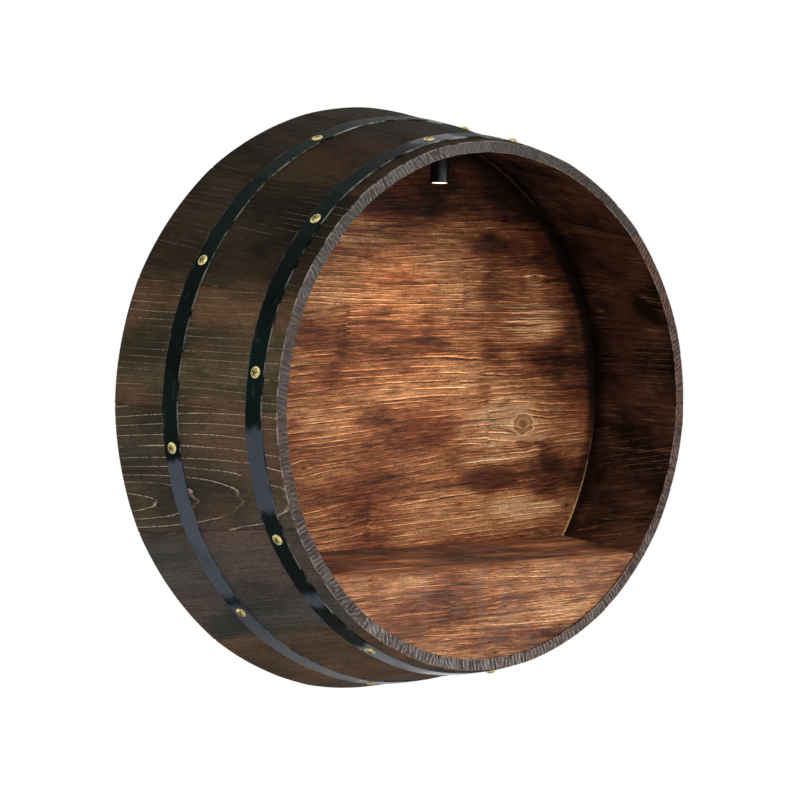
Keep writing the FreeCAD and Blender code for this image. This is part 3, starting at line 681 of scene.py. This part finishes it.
# %% Knots
def bent_round(start, place, flat, across, lengthwise, knots):
    """Pushes the grain aside at knots, given as (lengthwise, across, radius).

    Returns the new place and three masks: the knot's disc, the pale ring round it and its dark heart."""
    wobble = noise(flat, (110, 80, 110), 91.0, 3.0) * 0.6 + 0.7
    masks = None
    for at, height, size in knots:
        aside = lengthwise - at
        above = across - height
        far = (aside * aside * 0.5 + above * above) ** 0.5 / size * wobble
        push = above / (far * far + 1.0) * -0.95
        place = start.node(
            "ShaderNodeVectorMath",
            {"operation": "ADD"},
            {0: place, 1: start.node("ShaderNodeCombineXYZ", None, {0: push})},
        )
        plain = min(1.0, size / 0.010) ** 4
        heart = smooth(far, 0.5, 0.12) * (1.0 - 0.5 * plain)
        rings = band(far, 0.95, 1.02, 0.03).math("MAXIMUM", band(far, 0.50, 0.56, 0.04) * 0.5)
        made = (smooth(far, 1.0, 0.8), rings * plain, heart)
        masks = made if masks is None else [old.math("MAXIMUM", new) for old, new in zip(masks, made)]
    return place, *masks


print("knots bend the grain")

# %% Build a burnt board's finish
burnt_stops = [
    (0.00, tint(20, 11, 8)), (0.30, tint(50, 28, 20)), (0.46, tint(98, 56, 37)),
    (0.62, tint(150, 92, 58)), (0.82, tint(212, 151, 103)), (1.00, tint(238, 188, 142)),
]


def burnt_finish(
    name, axes, strip_height, joints, knots, spots_and_painted_light, seed, tone,
    slope=0.0, ring_width=0.0046, cloudy=0.7, smudged=0.08, edge_darkening=None, raw=None, dust=0.0,
):
    """Scorched and brushed boards; axes are the directions across, along and through them.

    The given spots are pale places that the flame missed, or darker ones where the amount is negative; the
    shelf's single spot is painted light along its front edge. Each is (lengthwise, across, half length, half
    height, amount). The darkening mask and the raw mask are functions of a point."""
    material, start = new_finish(name)
    point = object_place(start)
    across, lengthwise, through = (along(point, axis) for axis in axes)
    flat = joined(across, lengthwise, through)
    place, own, lines = strip_place(start, across, lengthwise, through, strip_height, joints, slope)
    if knots:
        place, disc, halo, heart = bent_round(start, place, flat, across, lengthwise, knots)
    ring = growth_rings(place, (0.10, 0.05), ring_width, 0.035, seed, bunching=(34, 2.6))
    late = late_wood(ring)
    fine = fibres(place, seed)
    streaks = rows(place, seed)
    clouds = noise(flat, (22, 7, 22), seed + 22, 3.0, 0.52)
    licks = noise(flat, (75, 17, 75), seed + 39, 2.0)
    smudges = smooth(noise(flat, (25, 13, 25), seed + 25, 3.0, 0.5), 0.52, 0.74)
    red = smooth(noise(flat, (18, 9, 18), seed + 28, 2.0), 0.5, 0.66)

    lightness = (clouds - 0.5) * cloudy + (streaks - 0.5) * 0.40 + own * 0.12 + (0.56 + tone)
    lightness = lightness - smudges * smudged + (licks - 0.5) * 0.12 + (fine - 0.5) * 0.5
    streaky = (streaks - 0.5) * 3.8 + (licks - 0.5) * 1.6 + 1.0
    for at, height, half_length, half_height, amount in spots_and_painted_light:
        aside, above = (lengthwise - at) / half_length, (across - height) / half_height
        lightness = lightness + smooth(aside * aside + above * above, 1.0, 0.0) * streaky * amount
    # the panel gets darker towards its edge here, above all at the right and at the top
    if edge_darkening:
        lightness = lightness - edge_darkening(point)
    colour = start.node("ShaderNodeValToRGB", {"stops": burnt_stops}, {0: lightness})
    colour = blend(colour, tint(122, 50, 27), red * smooth(lightness, 0.25, 0.45) * 0.3)

    broken = smooth(noise(place, (130, 18, 130), seed + 14, 2.0), 0.36, 0.52)
    lined = broken * (0.3 + 0.7 * smooth(lightness, 0.45, 0.68))
    speckle = speckles(place, seed)
    colour = shaded(colour, (0.45 + fine) * (0.94 - 0.1 * late + 1.6 * ridge(ring, 0.72) * lined))
    colour = blend(colour, tint(40, 20, 13), smooth(speckle, 0.52, 0.66) * 0.5)
    colour = blend(colour, tint(28, 14, 10), groove(ring, 0.18) * lined * 0.9)
    colour = blend(colour, tint(30, 16, 10), hairlines(place, seed + 50, 0.009) * 0.6)
    if knots:
        colour = blend(colour, shaded(tint(128, 80, 48)[:3], 0.4 + 1.2 * fine), disc * 0.7)
        colour = blend(colour, tint(240, 194, 148), halo)
        colour = blend(colour, tint(48, 26, 17), heart * 0.75)
    colour = blend(colour, tint(34, 18, 11), lines * 0.6)
    if dust:
        settled = smooth(noise(flat, (20, 60, 20), seed + 37, 4.0, 0.6), 0.36, 0.64)
        colour = blend(colour, tint(124, 106, 98), settled * dust)
    if raw:
        unburnt = shaded(blend(tint(226, 178, 112), tint(182, 130, 72), late * 0.7), 0.6 + 0.7 * fine)
        colour = blend(colour, unburnt, raw(point))

    rough = 0.6 - 0.12 * late + 0.2 * (streaks - 0.5)
    close_finish(
        start,
        {"Base Color": colour, "Roughness": rough, "Specular IOR Level": 0.16},
        fine * 0.6 + late * 0.3 - groove(ring, 0.18) * lined * 0.5,
        0.0007,
    )
    return material


print("burnt tones:", len(burnt_stops))

# %% [markdown]
# ## The back panel
# The panel is darker round its edge, above all at the right and at the top. A thin line of raw wood
# shows where the panel meets the staves low on the right, and its back was never burnt. Both are masks of
# the place, so that one finish covers front and back.

# %% Where the panel is darker and where it is raw
panel_rim = back_radius + taper * panel_y - stave_thickness


def panel_edge_darkening(point):
    """How much darker the panel is near its edge: black along it at the right, least at the bottom."""
    x, z = along(point, to_right), along(point, to_top)
    radius = length(x, z)
    uneven = noise(point, (22, 22, 22), 83.0, 3.0) * 0.012
    wide = smooth(radius + uneven, panel_rim - 0.055, panel_rim) * (0.05 + 0.13 * smooth(z, -0.14, 0.06))
    narrow = smooth(radius + uneven, panel_rim - 0.010, panel_rim + 0.004) * smooth(z, -0.13, 0.02) * 0.5
    upper = smooth(z, -0.03, 0.08) * 0.07
    top = smooth(z, 0.13, 0.27) * 0.14
    right_top = smooth(x * 0.8 + z, 0.16, 0.34) * 0.14
    return wide + narrow + upper + top.math("MAXIMUM", right_top)


def panel_raw(point):
    """The unburnt back, and a thin line along the front's edge, low on the right and faintly high up."""
    x, z = along(point, to_right), along(point, to_top)
    radius = length(x, z)
    slope = z / radius
    edge = smooth(radius, panel_rim - 0.0032, panel_rim - 0.0020)
    low_right = smooth(slope, -0.10, -0.50) * smooth(slope, -0.64, -0.58) * smooth(x, 0.10, 0.14) * 0.95
    high_right = band(slope, 0.76, 0.93, 0.04) * smooth(x, 0.06, 0.10) * 0.11
    uneven = smooth(noise(point, (60, 60, 60), 81.0, 2.0), 0.25, 0.5)
    back = smooth(along(point, to_wall), panel_y + 0.009, panel_y + 0.013)
    return back.math("MAXIMUM", edge * uneven * low_right.math("MAXIMUM", high_right))


print("panel edge at a radius of", round(panel_rim, 4), "m")

# %% Dress the panel
strips_in_board = 3
panel_low, panel_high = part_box("panel_board_3")
panel_strip = (panel_high.z - panel_low.z) / strips_in_board
face_axes = (to_top, to_right, to_wall)
panel_joints = [(-1, 0.125), (1, -0.060), (2, 0.090), (-3, -0.030)]
panel_knots = [
    (0.1736, -0.0262, 0.0112), (0.1863, 0.1328, 0.006), (0.2404, -0.1166, 0.007),
    (-0.1108, -0.0658, 0.005), (-0.0574, -0.1161, 0.005),
]
panel_spots = [
    (-0.115, 0.100, 0.080, 0.026, 0.10), (0.185, 0.084, 0.055, 0.024, 0.30),
    (0.140, -0.040, 0.080, 0.045, 0.26), (-0.095, -0.020, 0.060, 0.030, 0.10),
    (0.180, -0.115, 0.060, 0.018, 0.22), (-0.060, 0.170, 0.070, 0.020, 0.14),
    (0.1863, 0.1328, 0.020, 0.011, 0.26), (0.130, 0.020, 0.120, 0.060, 0.06),
    (0.125, -0.085, 0.050, 0.018, -0.20), (0.130, 0.165, 0.050, 0.016, -0.12),
]
panel_wood = burnt_finish(
    "burnt_pine_panel", face_axes, panel_strip, panel_joints, panel_knots, panel_spots,
    seed=4.0, tone=0.115, slope=0.06, ring_width=0.0052, smudged=0.22, edge_darkening=panel_edge_darkening, raw=panel_raw,
)
dress(panel_wood, *(f"panel_board_{i}" for i in range(1, 5)))
print("panel strips of", round(panel_strip, 4), "m")

# %% Shelf and the board under it
fascia_strip, shelf_strip = 0.034, 0.054
fascia_wood = burnt_finish(
    "burnt_pine_fascia",
    face_axes,
    fascia_strip,
    joints=[(-5, -0.144), (-6, -0.052)],
    knots=[(0.0151, -0.1904, 0.0032), (0.0038, -0.2345, 0.005)],
    spots_and_painted_light=[(0.06, -0.200, 0.10, 0.020, 0.14), (-0.10, -0.165, 0.05, 0.012, 0.08)],
    seed=11.0,
    tone=0.09,
    ring_width=0.0034,
    dust=0.22,
)
dress(fascia_wood, "shelf_fascia")
shelf_wood = burnt_finish(
    "burnt_pine_shelf",
    (to_wall, to_right, to_top),
    shelf_strip,
    joints=[(-2, 0.05), (-3, -0.07)],
    knots=[],
    # painted light: this spot lightens the shelf along its front-left edge
    spots_and_painted_light=[(-0.12, -0.178, 0.08, 0.012, 0.2)],
    seed=17.0,
    tone=-0.05,
    ring_width=0.012,
    cloudy=1.6,
    dust=0.30,
)
dress(shelf_wood, "shelf")
print("shelf top at", round(shelf_z, 3))

# %% [markdown]
# ## Raw pine behind the panel
# The battens and cleats never show from the front. They are plain sawn pine, so the same rings get pale
# colours and a rougher surface. The battens stand upright and the cleats lie across, which is only another
# choice of axes.

# %% Raw pine
def raw_pine(name, axes, pith, seed):
    """Pale sawn pine; axes are the directions across, along and through it."""
    material, start = new_finish(name)
    point = object_place(start)
    place = joined(*(along(point, axis) for axis in axes))
    late = late_wood(growth_rings(place, pith, 0.0042, 0.02, seed, 0.02))
    fine = fibres(place, seed)
    colour = blend(tint(222, 190, 142), tint(186, 136, 84), late * 0.8)
    colour = shaded(colour, 0.84 + 0.3 * fine)
    close_finish(
        start,
        {"Base Color": colour, "Roughness": 0.7 - 0.1 * late, "Specular IOR Level": 0.3},
        fine + late * 0.3,
        0.0003,
    )
    return material


dress(
    raw_pine("raw_pine_upright", (to_right, to_top, to_wall), (0.07, 0.05), 21.0),
    "left_batten", "middle_batten", "right_batten",
)
dress(
    raw_pine("raw_pine_level", face_axes, (-0.09, 0.04), 25.0),
    "rear_cleat", "front_cleat",
)
print("battens and cleats dressed")

# %% [markdown]
# ## Hoops
# The hoops are flat steel straps, painted black. Paint on a strap that was bent by hand is never even: most
# of it is dull, a few stretches kept their gloss, it is slightly wavy, and it is rubbed off to bare metal
# along the edges. The stretches that kept their gloss are given by their angles and get a coat, and their
# colour is a blue-grey painted reflection; noise round the barrel drives the rest.

# %% Black paint on bent steel
def hoop_finish(name, node, gloss_and_sheen):
    """The stretches given are those that kept their gloss, and whose colour is a blue-grey painted
    reflection:
    (first, last, amount), in degrees from the left side downwards."""
    material, start = new_finish(name)
    point = object_place(start)
    low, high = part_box(node)
    to_left, down = (-1, 0, 0), (0, 0, -1)
    x, y, z = (along(point, axis) for axis in (to_left, to_wall, down))
    dull = noise(point, (11, 5, 11), 33.0, 2.0)
    dust = noise(point, (260, 90, 260), 35.0, 3.0, 0.65)
    scuffs = smooth(noise(point, (60, 190, 60), 37.0, 3.0, 0.6), 0.60, 0.70)
    colour = blend(tint(2, 7, 6), tint(8, 19, 17), smooth(dull, 0.35, 0.65))
    colour = blend(colour, tint(84, 92, 92), scuffs * 0.12)
    front_edge = smooth(y, low.y + 0.00045, low.y + 0.0002)
    edge = front_edge.math("MAXIMUM", smooth(y, high.y - 0.0007, high.y - 0.0002) * 0.5)
    bare = edge * smooth(noise(point, (55, 55, 55), 41.0, 5.0, 0.65), 0.42, 0.66)
    colour = blend(colour, tint(176, 178, 170), bare * 0.5)
    turn = z.math("ARCTAN2", x) + 0.10 * (noise(point, (34, 60, 34), 43.0, 2.0) - 0.5)
    gloss_and_painted_sheen = sum(
        band(turn, math.radians(first), math.radians(last), 0.02) * amount for first, last, amount in gloss_and_sheen
    )
    gloss_and_painted_sheen = gloss_and_painted_sheen * smooth(noise(point, (14, 30, 14), 45.0, 2.0), 0.0, 0.45)
    # painted reflection: these stretches get a blue-grey base colour as painted sheen; their coat is real
    # gloss
    colour = blend(colour, tint(22, 36, 62), gloss_and_painted_sheen * 0.8)
    close_finish(
        start,
        {
            "Base Color": colour,
            "Roughness": 0.34 + 0.16 * dull + 0.2 * (dust - 0.5) + 0.2 * scuffs,
            "Metallic": bare * 0.6,
            "Specular IOR Level": 0.03,
            "Specular Tint": (0.65, 1.0, 0.9, 1),
            "Coat Weight": gloss_and_painted_sheen,
            "Coat Roughness": 0.2,
        },
        noise(point, (26, 10, 26), 39.0, 1.0) + dust * 0.05,
        0.0012,
        0.5,
    )
    return material


front_gloss_and_sheen = [(-82, -70, 0.35), (4, 21, 0.75), (41, 44, 0.8), (58, 100, 1.0)]
rear_gloss_and_sheen = [(11, 40, 0.85), (42, 100, 0.65)]
dress(hoop_finish("black_paint_front_hoop", "front_hoop", front_gloss_and_sheen), "front_hoop")
dress(hoop_finish("black_paint_rear_hoop", "rear_hoop", rear_gloss_and_sheen), "rear_hoop")
print("hoops dressed")

# %% [markdown]
# ## Screws and plates
# The hoop screws are yellow-plated domes with a cross. The rim of a dome is left bright and its middle is
# darkened as painted shade of the lit dome; the cross is darkened as painted shade in its recess, with grime
# that dulls its metal. The middle is found by the way the surface points, the recess by ambient occlusion,
# and a fine noise breaks both up. The hidden screws and the hanger plates are zinc: pale grey with the
# cloudy, crystal-like sheen that a Voronoi texture gives.

# %% Yellow plating
brass, start = new_finish("yellow_plated_screw")
point = object_place(start)
tarnish = noise(point, (420, 420, 420), 51.0, 3.0, 0.6)
open_sky = start.node(
    "ShaderNodeAmbientOcclusion", {"samples": 8, "only_local": True}, {"Distance": 0.0026}, out="AO"
)
normal = start.node("ShaderNodeTexCoord", out="Normal")
outward = start.node("ShaderNodeVectorMath", {"operation": "MULTIPLY"}, {0: point, 1: (1, 0, 1)})
outward = start.node("ShaderNodeVectorMath", {"operation": "NORMALIZE"}, {0: outward})
facing = (along(normal, outward) - taper * along(normal, to_wall)) / math.hypot(1, taper)
# painted shade: the middle of each dome, where the surface points straight out, is painted darker
middle = smooth(facing, 0.84, 0.93)
# painted shade in the cross's recess, from ambient occlusion, with grime that also makes the metal duller and
# rougher
dirt_and_recess_shade = smooth(open_sky, 0.96, 0.66)
colour = blend(tint(232, 220, 160), tint(150, 130, 70), smooth(tarnish, 0.44, 0.70))
colour = blend(colour, tint(136, 114, 56), middle * (0.45 + 0.55 * smooth(tarnish, 0.36, 0.60)))
colour = blend(colour, tint(64, 54, 26), dirt_and_recess_shade * 0.9)
close_finish(
    start,
    {"Base Color": colour, "Metallic": 0.85 - 0.6 * dirt_and_recess_shade, "Roughness": 0.28 + 0.3 * tarnish + 0.3 * dirt_and_recess_shade},
    tarnish,
    0.00012,
)
dress(brass, "front_hoop_screws", "rear_hoop_screws")
print("hoop screws dressed in", brass.name)

# %% Zinc plating
zinc, start = new_finish("zinc_plating")
point = object_place(start)
crystals = start.node("ShaderNodeTexVoronoi", None, {"Vector": point, "Scale": 420.0}, out="Color")
sparkle = along(crystals, (0.33, 0.33, 0.33))
colour = blend(tint(168, 170, 170), tint(204, 205, 202), sparkle)
close_finish(start, {"Base Color": colour, "Metallic": 1.0, "Roughness": 0.3 + 0.16 * sparkle})
dress(zinc, "panel_screws", "hanger_screws", "cleat_screws", "shelf_screws", "canopy_screws",
      "left_hanger_plate", "right_hanger_plate", "pivot_pin", "swivel_retainer")
print("screws and plates dressed")

# %% [markdown]
# ## Spotlight
# The spotlight is a small black can with a clear lens, lit. Its semi-gloss coat shows soft streaks of
# reflected light. The lens gives off a light that is whitest in the middle, and a real spot lamp below it
# throws warm light on the shelf and the back. The lamp rides on the head, so it turns with it.

# %% Black coat
lamp_black, start = new_finish("semi_gloss_black")
point = object_place(start)
grain = noise(point, (900, 900, 900), 61.0, 2.0)
colour = blend(tint(8, 9, 10), tint(18, 19, 20), grain)
close_finish(
    start, {"Base Color": colour, "Roughness": 0.26 + 0.14 * grain, "Coat Weight": 0.3}, grain, 0.00004
)
dress(lamp_black, "lamp_canopy", "swivel_yoke", "lamp_housing", "lamp_bezel")
print("lamp dressed in", lamp_black.name)

# %% Lit lens, its holder and the light board
lamp_low, lamp_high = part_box("lamp_housing")
lamp_axis = ((lamp_low + lamp_high) / 2).to_2d()
glow, start = new_finish("lit_lens")
point = object_place(start)
x = along(point, to_right) - lamp_axis.x
y = along(point, to_wall) - lamp_axis.y
far = length(x, y)
warm = blend(tint(255, 246, 232), tint(255, 206, 158), smooth(far, 0.003, 0.008))
close_finish(
    start,
    {
        "Base Color": (0.9, 0.88, 0.84, 1),
        "Roughness": 0.12 + 8 * far,
        "Emission Color": warm,
        "Emission Strength": 2.2,
    },
)
dress(glow, "lamp_lens")


def moulded(name, dark, light, scale, rough):
    """A moulded or printed surface: two close tones and a fine grain."""
    material, start = new_finish(name)
    point = object_place(start)
    grain = noise(point, (scale, scale, scale), 71.0, 2.0)
    close_finish(
        start, {"Base Color": blend(dark, light, grain), "Roughness": rough + 0.15 * grain}, grain, 0.00006
    )
    return material


dress(moulded("white_moulding", tint(204, 203, 198), tint(228, 227, 222), 300.0, 0.45), "lens_holder")
dress(moulded("white_board", tint(214, 210, 196), tint(238, 236, 226), 500.0, 0.4), "led_board")
dress(moulded("black_sheath", tint(14, 14, 15), tint(30, 30, 31), 700.0, 0.5), "lamp_lead")
dress(moulded("black_moulding", tint(16, 16, 17), tint(34, 34, 35), 400.0, 0.45),
      "lead_clips", "socket_clip", "power_socket")
print("spotlight at", [round(v, 4) for v in lamp_axis])

# %% The light it throws
below_lens = 0.002
spot = add_object("spotlight_beam", bpy.data.lights.new("spotlight_beam", "SPOT"))
spot.location = (lamp_axis.x, lamp_axis.y, lamp_low.z - below_lens)
spot.data.energy = 1.3
spot.data.color = (1.0, 0.74, 0.48)
spot.data.spot_size = math.radians(105)
spot.data.spot_blend = 1.0
spot.data.shadow_soft_size = 0.006
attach(spot, "lamp_head")
print("beam of", spot.data.energy, "W rides on the lamp's head")

# %% [markdown]
# ## Studio
# Soft light comes from a large lamp at the front left, a weaker one at the right and the even grey of the
# world. Camera, glossy and transmission rays see the world as plain white. The pale floor lies below the
# cabinet and melts into the white background towards its edge, but keeps the soft shadow in its middle.

# %% World
world = bpy.data.worlds.new("studio")
bpy.context.scene.world = world
world.use_nodes = True
world.node_tree.nodes.clear()
start = Flow(world.node_tree)
rays = ("Is Camera Ray", "Is Glossy Ray", "Is Transmission Ray")
seen = [start.node("ShaderNodeLightPath", out=ray) for ray in rays]
white = seen[0].math("MAXIMUM", seen[1]).math("MAXIMUM", seen[2])
world_light = 0.45
strength = white * (1 - world_light) + world_light
backdrop = start.node("ShaderNodeBackground", None, {"Color": (1, 1, 1, 1), "Strength": strength})
start.node("ShaderNodeOutputWorld", None, {"Surface": backdrop})
print("world light", world_light, "seen as white")

# %% Lamps
cabinet_middle = (0, -0.1, 0)


def soft_lamp(name, place, size, energy):
    """A round area lamp that looks at the cabinet."""
    lamp = add_object(name, bpy.data.lights.new(name, "AREA"))
    lamp.location = place
    lamp.rotation_euler = (Vector(cabinet_middle) - Vector(place)).to_track_quat("-Z", "Y").to_euler()
    lamp.data.shape = "DISK"
    lamp.data.size = size
    lamp.data.energy = energy


soft_lamp("front_light", (-1.5, -2.6, 1.5), 1.8, 55)
soft_lamp("right_fill", (1.8, -2.2, 0.6), 1.6, 14)

# %% Floor
floor_z = -0.62
floor_mesh = bpy.data.meshes.new("floor")
disc = bmesh.new()
bmesh.ops.create_circle(disc, cap_ends=True, segments=96, radius=3.0)
disc.to_mesh(floor_mesh)
disc.free()
floor = add_object("floor", floor_mesh)
floor.location = (0, -0.1, floor_z)
pale, start = new_finish("pale_floor")
point = object_place(start)
x, y = along(point, to_right), along(point, to_wall)
fade = smooth(length(x, y), 0.45, 0.85)
board = start.node("ShaderNodeBsdfDiffuse", None, {"Color": (0.88, 0.88, 0.87, 1)})
light = start.node("ShaderNodeEmission", None, {"Color": (1, 1, 1, 1), "Strength": 1.0})
floor_mix = start.node("ShaderNodeMixShader", None, {0: fade, 1: board, 2: light})
start.node("ShaderNodeOutputMaterial", None, {"Surface": floor_mix})
floor_mesh.materials.append(pale)
print("floor at z =", floor_z)

# %% [markdown]
